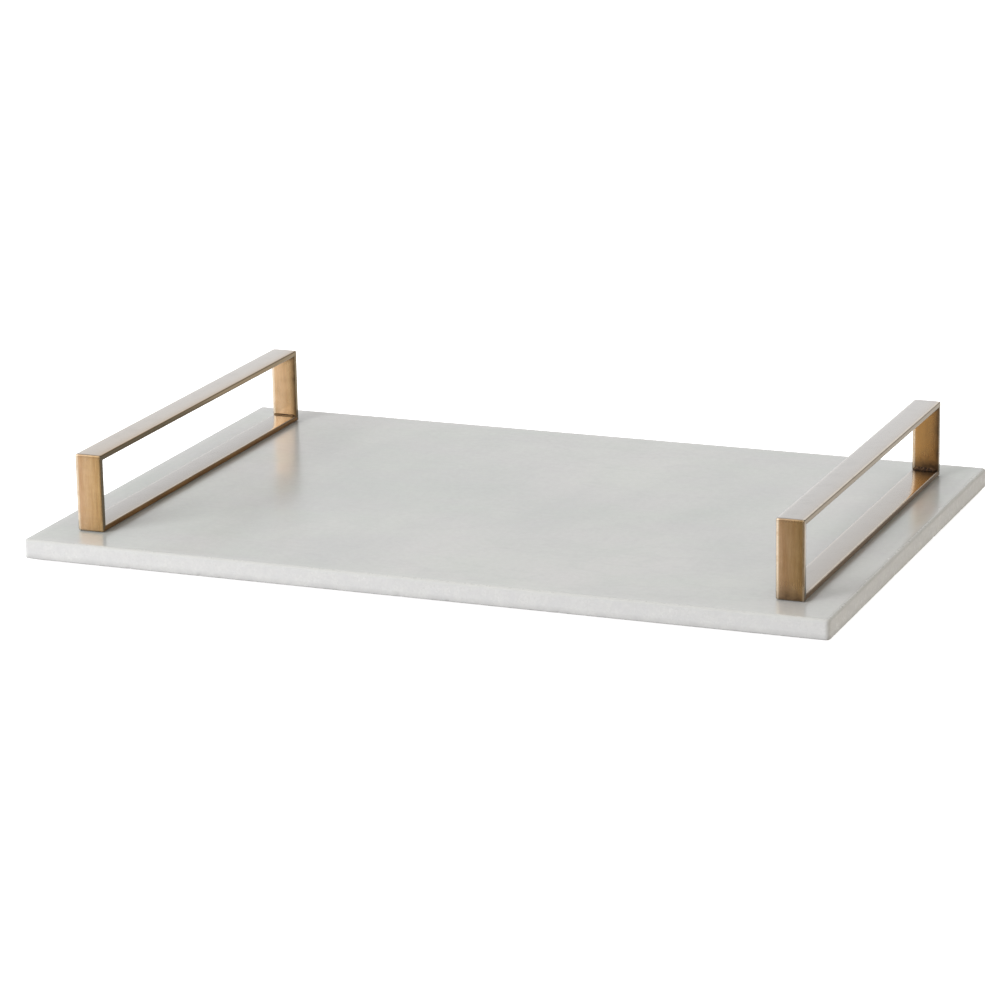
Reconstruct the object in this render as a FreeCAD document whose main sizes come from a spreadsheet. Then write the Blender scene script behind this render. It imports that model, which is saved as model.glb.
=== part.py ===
import FreeCAD, Part
import math
import os

import Sketcher

# Dresser vanity tray: a polished marble slab that stands on four rubber feet and carries a rectangular
# antique-brass loop handle at each end. Each loop is four mitred lengths of flat bar with a braze bead in
# every inner corner. Two bosses brazed under its base bar sink into the slab, and a machine screw with a
# steel washer and a fibre washer pulls each boss down from a counterbore in the slab's underside.
#
# Frame: X runs along the slab's long side, Y from front to rear, Z up. The origin is under the slab's
# centre, on the surface that the feet stand on. All sizes are millimetres.

DIMENSIONS = {
    # marble slab
    "slab_length": 457.2,
    "slab_depth": 304.8,
    "slab_thickness": 10.9,
    "slab_corner_radius": 2.5,
    "slab_top_ease": 1.6,
    "slab_bottom_ease": 0.6,
    # handles: outer size of a loop, and the flat bar that it is made of
    "handle_offset": 200.0,
    "handle_length": 256.0,
    "handle_height": 43.6,
    "bar_width": 15.4,
    "bar_thickness": 3.5,
    "bar_corner_round": 1.0,
    "bar_arris_round": 0.7,
    # braze bead in the inner corners: its legs along the two bars, and the centre of its hollow face
    "braze_leg": 1.8,
    "braze_centre": 2.9,
    "braze_end_gap": 0.8,
    # fastening: distance of the screws from the ends of the loop, then the stack from the slab downwards
    "screw_inset": 28.0,
    "hole_diameter": 7.5,
    "counterbore_diameter": 12.0,
    "counterbore_depth": 5.0,
    "boss_diameter": 7.0,
    "boss_length": 5.0,
    "boss_bore": 4.1,
    "boss_chamfer": 0.4,
    "fibre_washer_diameter": 11.0,
    "fibre_washer_thickness": 0.8,
    "steel_washer_diameter": 9.0,
    "steel_washer_thickness": 0.8,
    "steel_washer_chamfer": 0.15,
    "washer_bore": 4.3,
    # M4 x 6 pan head machine screw with a cross recess
    "screw_diameter": 3.95,
    "screw_root": 3.1,
    "screw_pitch": 0.7,
    "screw_length": 6.0,
    "screw_tip": 0.45,
    "thread_runout": 1.0,
    "thread_turns": 7,
    "head_diameter": 8.0,
    "head_height": 2.4,
    "head_flat": 3.2,
    "head_side": 0.9,
    "recess_span": 4.2,
    "recess_width": 1.1,
    "recess_depth": 1.4,
    # rubber feet, distance of their centres from the slab's edges
    "foot_diameter": 12.0,
    "foot_height": 2.5,
    "foot_inset": 22.0,
    "foot_round": 0.6,
}

SIDES = {"left": -1, "right": 1}
ENDS = {"front": -1, "rear": 1}

SLAB_TOP = "(Sizes.foot_height + Sizes.slab_thickness)"
COUNTERBORE_TOP = "(Sizes.foot_height + Sizes.counterbore_depth)"
HANDLE_END = "(Sizes.handle_length / 2)"
SCREW_DISTANCE = "(Sizes.handle_length / 2 - Sizes.screw_inset)"
FOOT_X = "(Sizes.slab_length / 2 - Sizes.foot_inset)"
FOOT_Y = "(Sizes.slab_depth / 2 - Sizes.foot_inset)"

ORIGIN_POINT = (-1, 1)
HORIZONTAL_AXIS = -1
VERTICAL_AXIS = -2
START, END, CENTRE = 1, 2, 3
EDGE_TOLERANCE = 1e-4

doc = FreeCAD.newDocument("VanityTray")
sub_parts = []


def size(alias):
    """A driving dimension, for the first guess at a sketch's geometry."""
    return DIMENSIONS[alias]


def make_sheet():
    sheet = doc.addObject("Spreadsheet::Sheet", "Sizes")
    for row, (alias, value) in enumerate(DIMENSIONS.items(), start=1):
        sheet.set(f"A{row}", str(value))
        sheet.setAlias(f"A{row}", alias)
    doc.recompute()


# ---- helpers for bodies, sketches and features ----


def new_body(label):
    body = doc.addObject("PartDesign::Body", label)
    body.Label = label
    sub_parts.append(body)
    return body


def place(body, x="0", y="0", z="0", turn_about_x=0):
    """Place a body at bound coordinates, turned about the X direction by some degrees."""
    rotation = FreeCAD.Rotation(FreeCAD.Vector(1, 0, 0), turn_about_x)
    body.Placement = FreeCAD.Placement(FreeCAD.Vector(0, 0, 0), rotation)
    for axis, expression in (("x", x), ("y", y), ("z", z)):
        body.setExpression(f"Placement.Base.{axis}", expression)


def origin_feature(body, role):
    return next(item for item in body.Origin.OriginFeatures if item.Role == role)


def new_sketch(body, name, plane, offset_z=None):
    sketch = body.newObject("Sketcher::SketchObject", name)
    sketch.AttachmentSupport = [(origin_feature(body, plane), "")]
    sketch.MapMode = "FlatFace"
    if offset_z:
        sketch.setExpression("AttachmentOffset.Base.z", offset_z)
    return sketch


def constrain(sketch, kind, *where, value=None, bound_to=None):
    """Add a constraint, whose value is bound to an expression of the sheet if one is given."""
    numbers = where if value is None else (*where, value)
    index = sketch.addConstraint(Sketcher.Constraint(kind, *numbers))
    if bound_to:
        sketch.setExpression(f"Constraints[{index}]", bound_to)
    return index


def add_line(sketch, start, end):
    segment = Part.LineSegment(FreeCAD.Vector(*start, 0), FreeCAD.Vector(*end, 0))
    return sketch.addGeometry(segment, False)


def add_outline(sketch, points):
    """Closed polygon through the points, with its corners tied together."""
    lines = [add_line(sketch, a, b) for a, b in zip(points, points[1:] + points[:1])]
    for line, following in zip(lines, lines[1:] + lines[:1]):
        constrain(sketch, "Coincident", line, END, following, START)
    return lines


def add_centred_rectangle(sketch, width, height):
    """Rectangle centred on the sketch's origin; width and height are aliases of the sheet."""
    x, y = size(width) / 2, size(height) / 2
    bottom, right, top, left = add_outline(sketch, [(-x, -y), (x, -y), (x, y), (-x, y)])
    for line in (bottom, top):
        constrain(sketch, "Horizontal", line)
    for line in (right, left):
        constrain(sketch, "Vertical", line)
    constrain(sketch, "Symmetric", bottom, START, top, START, *ORIGIN_POINT)
    constrain(sketch, "DistanceX", bottom, START, bottom, END, value=2 * x, bound_to=f"Sizes.{width}")
    constrain(sketch, "DistanceY", right, START, right, END, value=2 * y, bound_to=f"Sizes.{height}")


def add_circle(sketch, diameter, x=0.0, y=0.0, x_bound=None, y_bound=None):
    """Circle of a bound diameter, on the sketch's origin or at bound coordinates."""
    centre = FreeCAD.Vector(x, y, 0)
    circle = sketch.addGeometry(Part.Circle(centre, FreeCAD.Vector(0, 0, 1), size(diameter) / 2), False)
    constrain(sketch, "Diameter", circle, value=size(diameter), bound_to=f"Sizes.{diameter}")
    if x_bound:
        constrain(sketch, "DistanceX", *ORIGIN_POINT, circle, CENTRE, value=x, bound_to=x_bound)
        constrain(sketch, "DistanceY", *ORIGIN_POINT, circle, CENTRE, value=y, bound_to=y_bound)
    else:
        constrain(sketch, "Coincident", circle, CENTRE, *ORIGIN_POINT)


def add_feature(body, kind, name, **bindings):
    """Add a PartDesign feature and bind its properties to expressions of the sheet."""
    feature = body.newObject(f"PartDesign::{kind}", name)
    for prop, expression in bindings.items():
        feature.setExpression(prop, expression)
    return feature


def pad(body, sketch, name, length, symmetric=False):
    feature = add_feature(body, "Pad", name, Length=length)
    feature.Profile = sketch
    feature.SideType = "Symmetric" if symmetric else "One side"
    doc.recompute()
    return feature


def dress(body, base, kind, name, edges, **bindings):
    """Fillet or chamfer the edges of the base feature that a test picks out."""
    names = [f"Edge{n}" for n, edge in enumerate(base.Shape.Edges, start=1) if edges(edge)]
    feature = add_feature(body, kind, name, **bindings)
    feature.Base = (base, names)
    doc.recompute()
    return feature


def require_cut(feature, base):
    if not feature.Shape.Volume < base.Shape.Volume - EDGE_TOLERANCE:
        raise RuntimeError(f"{feature.Label} removes nothing")


def lies_at_height(height):
    """Test for edges that lie flat at a height of the body's own frame."""
    def test(edge):
        box = edge.BoundBox
        return abs(box.ZMin - height) < EDGE_TOLERANCE and abs(box.ZMax - height) < EDGE_TOLERANCE
    return test


def is_upright(edge):
    box = edge.BoundBox
    return box.XLength < EDGE_TOLERANCE and box.YLength < EDGE_TOLERANCE


def is_long_arris(edge):
    """An edge of a flat bar's two sides, but not of its mitred ends."""
    if edge.BoundBox.XLength > EDGE_TOLERANCE:
        return False
    is_arc = isinstance(edge.Curve, Part.Circle)
    return is_arc or edge.BoundBox.ZLength < EDGE_TOLERANCE


# ---- marble slab ----


def make_slab():
    """Slab with eased arrises and four counterbored holes that the bosses and screws share."""
    body = new_body("marble_slab")
    outline = new_sketch(body, "SlabOutline", "XY_Plane")
    add_centred_rectangle(outline, "slab_length", "slab_depth")
    block = pad(body, outline, "SlabBlock", "Sizes.slab_thickness")
    corners = dress(body, block, "Fillet", "SlabCorners", is_upright, Radius="Sizes.slab_corner_radius")
    top = dress(body, corners, "Fillet", "SlabTopEase", lies_at_height(size("slab_thickness")),
                Radius="Sizes.slab_top_ease")
    eased = dress(body, top, "Chamfer", "SlabBottomEase", lies_at_height(0), Size="Sizes.slab_bottom_ease")

    centres = new_sketch(body, "HoleCentres", "XY_Plane")
    x, y = size("handle_offset"), size("handle_length") / 2 - size("screw_inset")
    for side in SIDES.values():
        for end in ENDS.values():
            add_circle(centres, "hole_diameter", side * x, end * y,
                       f"{side} * Sizes.handle_offset", f"{end} * {SCREW_DISTANCE}")
    doc.recompute()
    holes = add_feature(body, "Hole", "CounterboredHoles")
    holes.Profile = centres
    holes.Reversed = True
    holes.DepthType = "ThroughAll"
    holes.HoleCutType = "Counterbore"
    holes.HoleCutCustomValues = True
    holes.setExpression("Diameter", "Sizes.hole_diameter")
    holes.setExpression("HoleCutDiameter", "Sizes.counterbore_diameter")
    holes.setExpression("HoleCutDepth", "Sizes.counterbore_depth")
    doc.recompute()
    require_cut(holes, eased)
    place(body, z="Sizes.foot_height")


# ---- handles ----


def add_mitred_profile(sketch, length):
    """Side view of a bar: its outer face on the horizontal axis, both ends mitred at 45 degrees.

    Each outer corner carries its half of the corner's rounding, an arc that ends on the mitre.
    """
    half, rounding, thickness = size(length) / 2, size("bar_corner_round"), size("bar_thickness")
    outer_x, inner_x = half - rounding, half - thickness
    outer = add_line(sketch, (-outer_x, 0), (outer_x, 0))
    constrain(sketch, "PointOnObject", outer, START, HORIZONTAL_AXIS)
    constrain(sketch, "Symmetric", outer, START, outer, END, VERTICAL_AXIS)
    constrain(sketch, "DistanceX", outer, START, outer, END, value=2 * outer_x,
              bound_to=f"Sizes.{length} - 2 * Sizes.bar_corner_round")
    inner = add_line(sketch, (-inner_x, -thickness), (inner_x, -thickness))
    constrain(sketch, "Symmetric", inner, START, inner, END, VERTICAL_AXIS)
    constrain(sketch, "DistanceX", inner, START, inner, END, value=2 * inner_x,
              bound_to=f"Sizes.{length} - 2 * Sizes.bar_thickness")
    constrain(sketch, "DistanceY", inner, START, *ORIGIN_POINT, value=thickness,
              bound_to="Sizes.bar_thickness")

    for sign, bar_end in ((-1, START), (1, END)):
        centre = FreeCAD.Vector(sign * outer_x, -rounding, 0)
        mitre_angle = math.radians(90 - sign * 45)
        circle = Part.Circle(centre, FreeCAD.Vector(0, 0, 1), rounding)
        arc = sketch.addGeometry(Part.ArcOfCircle(circle, *sorted((mitre_angle, math.radians(90)))), False)
        arc_top, arc_side = (END, START) if sign > 0 else (START, END)
        constrain(sketch, "Tangent", outer, bar_end, arc, arc_top)
        constrain(sketch, "Radius", arc, value=rounding, bound_to="Sizes.bar_corner_round")
        on_mitre = (centre.x + rounding * math.cos(mitre_angle), centre.y + rounding * math.sin(mitre_angle))
        mitre = add_line(sketch, on_mitre, (sign * inner_x, -thickness))
        constrain(sketch, "Coincident", mitre, START, arc, arc_side)
        constrain(sketch, "Coincident", mitre, END, inner, bar_end)
        constrain(sketch, "PointOnObject", arc, CENTRE, mitre)


def make_bar(label, length, turn_about_x, y="0", z="0", side=1):
    """Length of flat bar, mitred at both ends, its outer face turned to the outside of the loop."""
    body = new_body(label)
    profile = new_sketch(body, "BarProfile", "YZ_Plane")
    add_mitred_profile(profile, length)
    blank = pad(body, profile, "BarBlank", "Sizes.bar_width", symmetric=True)
    dress(body, blank, "Fillet", "BarArrises", is_long_arris, Radius="Sizes.bar_arris_round")
    place(body, f"{side} * Sizes.handle_offset", y, z, turn_about_x)


def make_braze_bead(label, side, y, z, turn_about_x):
    """Bead of braze in an inner corner: two legs on the bars and a hollow face between them."""
    body = new_body(label)
    section = new_sketch(body, "BeadSection", "YZ_Plane")
    leg, middle = size("braze_leg"), size("braze_centre")
    along = add_line(section, (0, 0), (leg, 0))
    up = add_line(section, (0, leg), (0, 0))
    constrain(section, "Coincident", along, START, *ORIGIN_POINT)
    constrain(section, "Coincident", up, END, *ORIGIN_POINT)
    constrain(section, "Horizontal", along)
    constrain(section, "Vertical", up)
    constrain(section, "DistanceX", along, START, along, END, value=leg, bound_to="Sizes.braze_leg")
    constrain(section, "DistanceY", up, END, up, START, value=leg, bound_to="Sizes.braze_leg")
    circle = Part.Circle(FreeCAD.Vector(middle, middle, 0), FreeCAD.Vector(0, 0, 1),
                         math.hypot(middle - leg, middle))
    upper = math.atan2(leg - middle, -middle) + 2 * math.pi
    lower = math.atan2(-middle, leg - middle) + 2 * math.pi
    hollow = section.addGeometry(Part.ArcOfCircle(circle, *sorted((upper, lower))), False)
    constrain(section, "Coincident", hollow, START, up, START)
    constrain(section, "Coincident", hollow, END, along, END)
    constrain(section, "DistanceX", *ORIGIN_POINT, hollow, CENTRE, value=middle,
              bound_to="Sizes.braze_centre")
    pad(body, section, "Bead", "Sizes.bar_width - 2 * Sizes.braze_end_gap", symmetric=True)
    place(body, f"{side} * Sizes.handle_offset", y, z, turn_about_x)


def make_handle(side_name, side):
    """Rectangular loop that stands on the slab: base bar, two posts, top bar and four braze beads."""
    top = f"({SLAB_TOP} + Sizes.handle_height)"
    middle = f"({SLAB_TOP} + Sizes.handle_height / 2)"
    make_bar(f"{side_name}_handle_top_bar", "handle_length", 0, z=top, side=side)
    make_bar(f"{side_name}_handle_base_bar", "handle_length", 180, z=SLAB_TOP, side=side)
    post_turn = {"front": 90, "rear": -90}
    for end_name, end in ENDS.items():
        make_bar(f"{side_name}_handle_{end_name}_post", "handle_height", post_turn[end_name],
                 y=f"{end} * {HANDLE_END}", z=middle, side=side)
    lower_z = f"{SLAB_TOP} + Sizes.bar_thickness"
    upper_z = f"{top} - Sizes.bar_thickness"
    bead_turn = {("front", "lower"): 0, ("rear", "lower"): 90, ("rear", "upper"): 180, ("front", "upper"): -90}
    for (end_name, level), turn in bead_turn.items():
        make_braze_bead(f"{side_name}_handle_{end_name}_{level}_braze", side,
                        f"{ENDS[end_name]} * ({HANDLE_END} - Sizes.bar_thickness)",
                        lower_z if level == "lower" else upper_z, turn)


# ---- fastenings ----


def make_ring(label, outer, bore, length, x, y, z, chamfer=None):
    """Flat ring or tube standing along Z, with both outer edges chamfered if a chamfer is named."""
    body = new_body(label)
    section = new_sketch(body, "RingSection", "XY_Plane")
    add_circle(section, outer)
    add_circle(section, bore)
    ring = pad(body, section, "Ring", f"Sizes.{length}")
    if chamfer:
        def is_outer(edge):
            return abs(edge.BoundBox.XLength - size(outer)) < EDGE_TOLERANCE
        dress(body, ring, "Chamfer", "RingEdges", is_outer, Size=f"Sizes.{chamfer}")
    place(body, x, y, z)


def add_screw_outline(sketch):
    """Half outline of the blank: low domed head below the bearing face, plain shank with a tapered tip."""
    head, flat, side = size("head_diameter") / 2, size("head_flat"), size("head_side")
    height, shank = size("head_height"), size("screw_diameter") / 2
    length, tip = size("screw_length"), size("screw_tip")
    points = [(0, -height), (flat, -height), (head, -side), (head, 0), (shank, 0),
              (shank, length - tip), (shank - tip, length), (0, length)]
    crown, _, rim, bearing, body_line, taper, end_face, axis = add_outline(sketch, points)
    for line in (crown, bearing, end_face):
        constrain(sketch, "Horizontal", line)
    for line in (rim, body_line, axis):
        constrain(sketch, "Vertical", line)
    constrain(sketch, "PointOnObject", crown, START, VERTICAL_AXIS)
    constrain(sketch, "PointOnObject", bearing, START, HORIZONTAL_AXIS)
    constrain(sketch, "DistanceY", crown, START, *ORIGIN_POINT, value=height, bound_to="Sizes.head_height")
    constrain(sketch, "DistanceX", crown, START, crown, END, value=flat, bound_to="Sizes.head_flat")
    constrain(sketch, "DistanceX", *ORIGIN_POINT, rim, END, value=head, bound_to="Sizes.head_diameter / 2")
    constrain(sketch, "DistanceY", rim, START, rim, END, value=side, bound_to="Sizes.head_side")
    constrain(sketch, "DistanceX", *ORIGIN_POINT, body_line, START, value=shank,
              bound_to="Sizes.screw_diameter / 2")
    constrain(sketch, "DistanceY", *ORIGIN_POINT, end_face, START, value=length,
              bound_to="Sizes.screw_length")
    constrain(sketch, "DistanceX", taper, END, taper, START, value=tip, bound_to="Sizes.screw_tip")
    constrain(sketch, "DistanceY", taper, START, taper, END, value=tip, bound_to="Sizes.screw_tip")


def add_thread_groove(sketch):
    """Half section of one thread groove, its mouth just outside the shank."""
    root, crest = size("screw_root") / 2, size("screw_diameter") / 2
    start, pitch = size("thread_runout"), size("screw_pitch")
    points = [(root, start), (crest, start + pitch / 2), (crest, start - pitch / 2)]
    upper, mouth, lower = add_outline(sketch, points)
    constrain(sketch, "Vertical", mouth)
    constrain(sketch, "Equal", upper, lower)
    constrain(sketch, "DistanceX", *ORIGIN_POINT, upper, START, value=root, bound_to="Sizes.screw_root / 2")
    constrain(sketch, "DistanceY", *ORIGIN_POINT, upper, START, value=start, bound_to="Sizes.thread_runout")
    constrain(sketch, "DistanceX", *ORIGIN_POINT, mouth, START, value=crest,
              bound_to="Sizes.screw_diameter / 2")
    constrain(sketch, "DistanceY", mouth, END, mouth, START, value=pitch, bound_to="Sizes.screw_pitch")


def make_screw(label, x, y, z):
    """Machine screw that points up, with ring grooves for its thread and a cross recess in its head."""
    body = new_body(label)
    outline = new_sketch(body, "ScrewOutline", "XZ_Plane")
    add_screw_outline(outline)
    blank = add_feature(body, "Revolution", "ScrewBlank")
    blank.Profile = outline
    blank.ReferenceAxis = (origin_feature(body, "Z_Axis"), [""])
    doc.recompute()

    groove_section = new_sketch(body, "GrooveSection", "XZ_Plane")
    add_thread_groove(groove_section)
    groove = add_feature(body, "Groove", "ThreadGroove")
    groove.Profile = groove_section
    groove.ReferenceAxis = (origin_feature(body, "Z_Axis"), [""])
    doc.recompute()
    require_cut(groove, blank)
    thread = add_feature(body, "LinearPattern", "Thread", Occurrences="Sizes.thread_turns",
                         Length="Sizes.screw_pitch * (Sizes.thread_turns - 1)")
    thread.Originals = [groove]
    thread.Direction = (origin_feature(body, "Z_Axis"), [""])
    body.Tip = thread
    doc.recompute()
    require_cut(thread, groove)

    slot_section = new_sketch(body, "SlotSection", "XY_Plane", offset_z="-Sizes.head_height")
    add_centred_rectangle(slot_section, "recess_span", "recess_width")
    slot = add_feature(body, "Pocket", "RecessSlot", Length="Sizes.recess_depth")
    slot.Profile = slot_section
    slot.Reversed = True
    doc.recompute()
    require_cut(slot, thread)
    recess = add_feature(body, "PolarPattern", "CrossRecess")
    recess.Originals = [slot]
    recess.Axis = (origin_feature(body, "Z_Axis"), [""])
    recess.Angle = 90
    recess.Occurrences = 2
    body.Tip = recess
    doc.recompute()
    require_cut(recess, slot)
    place(body, x, y, z)


def make_fastening(prefix, x, y):
    """Boss from above, then fibre washer, steel washer and screw from below, all on one upright line."""
    fibre_z = f"{COUNTERBORE_TOP} - Sizes.fibre_washer_thickness"
    steel_z = f"{fibre_z} - Sizes.steel_washer_thickness"
    make_ring(f"{prefix}_boss", "boss_diameter", "boss_bore", "boss_length", x, y,
              f"{SLAB_TOP} - Sizes.boss_length", chamfer="boss_chamfer")
    make_ring(f"{prefix}_fibre_washer", "fibre_washer_diameter", "washer_bore", "fibre_washer_thickness",
              x, y, fibre_z)
    make_ring(f"{prefix}_steel_washer", "steel_washer_diameter", "washer_bore", "steel_washer_thickness",
              x, y, steel_z, chamfer="steel_washer_chamfer")
    make_screw(f"{prefix}_screw", x, y, steel_z)


# ---- feet ----


def make_foot(label, x, y):
    """Round rubber foot stuck under the slab, its lower edge rounded."""
    body = new_body(label)
    section = new_sketch(body, "FootSection", "XY_Plane")
    add_circle(section, "foot_diameter")
    disc = pad(body, section, "FootDisc", "Sizes.foot_height")
    dress(body, disc, "Fillet", "FootEdge", lies_at_height(0), Radius="Sizes.foot_round")
    place(body, x, y)


# ---- the whole tray ----


def make_tray():
    make_sheet()
    make_slab()
    for side_name, side in SIDES.items():
        make_handle(side_name, side)
        for end_name, end in ENDS.items():
            corner = f"{side_name}_{end_name}"
            make_fastening(corner, f"{side} * Sizes.handle_offset", f"{end} * {SCREW_DISTANCE}")
            make_foot(f"{corner}_foot", f"{side} * {FOOT_X}", f"{end} * {FOOT_Y}")
    doc.recompute()


def check_tray():
    """Stop before anything is written if an object of the document has failed or a piece is no sound solid."""
    for item in doc.Objects:
        if "Invalid" in item.State or "Error" in item.State:
            raise RuntimeError(f"{item.Label} ({item.Name}) failed: {item.State}")
    for piece in sub_parts:
        shape = piece.Shape
        if shape.isNull() or not shape.isValid() or len(shape.Solids) != 1:
            raise RuntimeError(f"{piece.Label} is not one valid solid")


def export_tray():
    os.makedirs("parts", exist_ok=True)
    for piece in sub_parts:
        piece.Shape.exportStep(f"parts/{piece.Label}.step")
    print(f"{len(sub_parts)} sub-parts written")


make_tray()
check_tray()
export_tray()
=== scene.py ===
import math
import random

import bmesh
import bpy
from mathutils import Matrix, Vector, noise


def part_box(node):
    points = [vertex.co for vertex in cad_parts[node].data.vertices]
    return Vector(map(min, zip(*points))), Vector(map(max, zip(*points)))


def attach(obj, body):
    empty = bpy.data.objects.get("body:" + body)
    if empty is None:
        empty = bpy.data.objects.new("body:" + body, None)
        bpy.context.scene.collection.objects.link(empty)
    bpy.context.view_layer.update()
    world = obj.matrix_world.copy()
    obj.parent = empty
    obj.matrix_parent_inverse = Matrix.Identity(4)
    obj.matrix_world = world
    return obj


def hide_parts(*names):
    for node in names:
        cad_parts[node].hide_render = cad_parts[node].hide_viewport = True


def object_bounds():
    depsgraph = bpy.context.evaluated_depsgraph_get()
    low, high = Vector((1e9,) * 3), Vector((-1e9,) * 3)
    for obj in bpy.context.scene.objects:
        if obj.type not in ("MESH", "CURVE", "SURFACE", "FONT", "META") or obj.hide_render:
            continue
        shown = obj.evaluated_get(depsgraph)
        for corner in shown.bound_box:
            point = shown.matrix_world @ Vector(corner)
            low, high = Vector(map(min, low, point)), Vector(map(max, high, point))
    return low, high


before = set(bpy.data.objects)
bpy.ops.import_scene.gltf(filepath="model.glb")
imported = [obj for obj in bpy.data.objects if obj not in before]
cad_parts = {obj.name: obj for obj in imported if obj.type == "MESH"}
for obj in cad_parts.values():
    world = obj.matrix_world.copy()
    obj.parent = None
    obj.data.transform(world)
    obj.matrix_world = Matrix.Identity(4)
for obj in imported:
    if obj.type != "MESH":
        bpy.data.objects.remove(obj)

# Looks of a dresser vanity tray: a polished marble slab, two loop handles of antique-brass flat bar, their
# braze beads, and the fastenings and feet underneath. Places and outer sizes come from the CAD parts in
# model.glb; the dimensions named here are those of details within a piece. All lengths are metres.

MM = 0.001
ROOT = "root"
SIDES = ("left", "right")
ENDS = ("front", "rear")

CAD_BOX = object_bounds()


# ---- small helpers ----


def node_box(node):
    """Lower and upper corner of a CAD node's box."""
    low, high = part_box(node)
    return Vector(low), Vector(high)


def middle_of(node):
    """Centre of a CAD node's box."""
    low, high = node_box(node)
    return (low + high) / 2


def smooth_step(value, start, stop):
    """0 at start, 1 at stop, with a soft change between them."""
    share = min(1.0, max(0.0, (value - start) / (stop - start)))
    return share * share * (3 - 2 * share)


def rough(point, scale, seed=0.0):
    """Smooth noise from -1 to 1; scale is the size of its lumps."""
    return noise.noise(Vector(point) / scale + Vector((seed, seed * 1.7, seed * 2.3)))


def quarter_turn(steps):
    """(sine, cosine) pairs from 0 to a right angle."""
    angles = [math.pi / 2 * step / steps for step in range(steps + 1)]
    return [(math.sin(angle), math.cos(angle)) for angle in angles]


def add_object(name, data):
    """A new object in the scene."""
    made = bpy.data.objects.new(name, data)
    bpy.context.collection.objects.link(made)
    return made


def mesh_object(name, bm):
    """A new object that takes over a bmesh."""
    mesh = bpy.data.meshes.new(name)
    bm.to_mesh(mesh)
    bm.free()
    return add_object(name, mesh)


def shown_piece(name, nodes, material, bm):
    """Turn a bmesh into a piece that stands for CAD nodes: attach it to the root body and hide those nodes.
    """
    bmesh.ops.recalc_face_normals(bm, faces=bm.faces)
    for face in bm.faces:
        face.smooth = True
    piece = mesh_object(name, bm)
    piece.data.materials.append(material)
    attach(piece, ROOT)
    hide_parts(*nodes)
    return piece


def add_grid(bm, rows, close_rows):
    """Quads between rows of vertices; the rows are closed loops if close_rows is true."""
    for row, following in zip(rows, rows[1:]):
        count = len(row)
        for i in range(count if close_rows else count - 1):
            j = (i + 1) % count
            bm.faces.new((row[i], row[j], following[j], following[i]))


def keep_crisp(piece, degrees):
    """Shade smooth, but keep the edges that turn by more than an angle."""
    mesh = piece.data
    bm = bmesh.new()
    bm.from_mesh(mesh)
    limit = math.radians(degrees)
    for edge in bm.edges:
        edge.smooth = len(edge.link_faces) != 2 or edge.calc_face_angle() < limit
    bm.to_mesh(mesh)
    bm.free()


# ---- shader helpers ----


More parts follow.
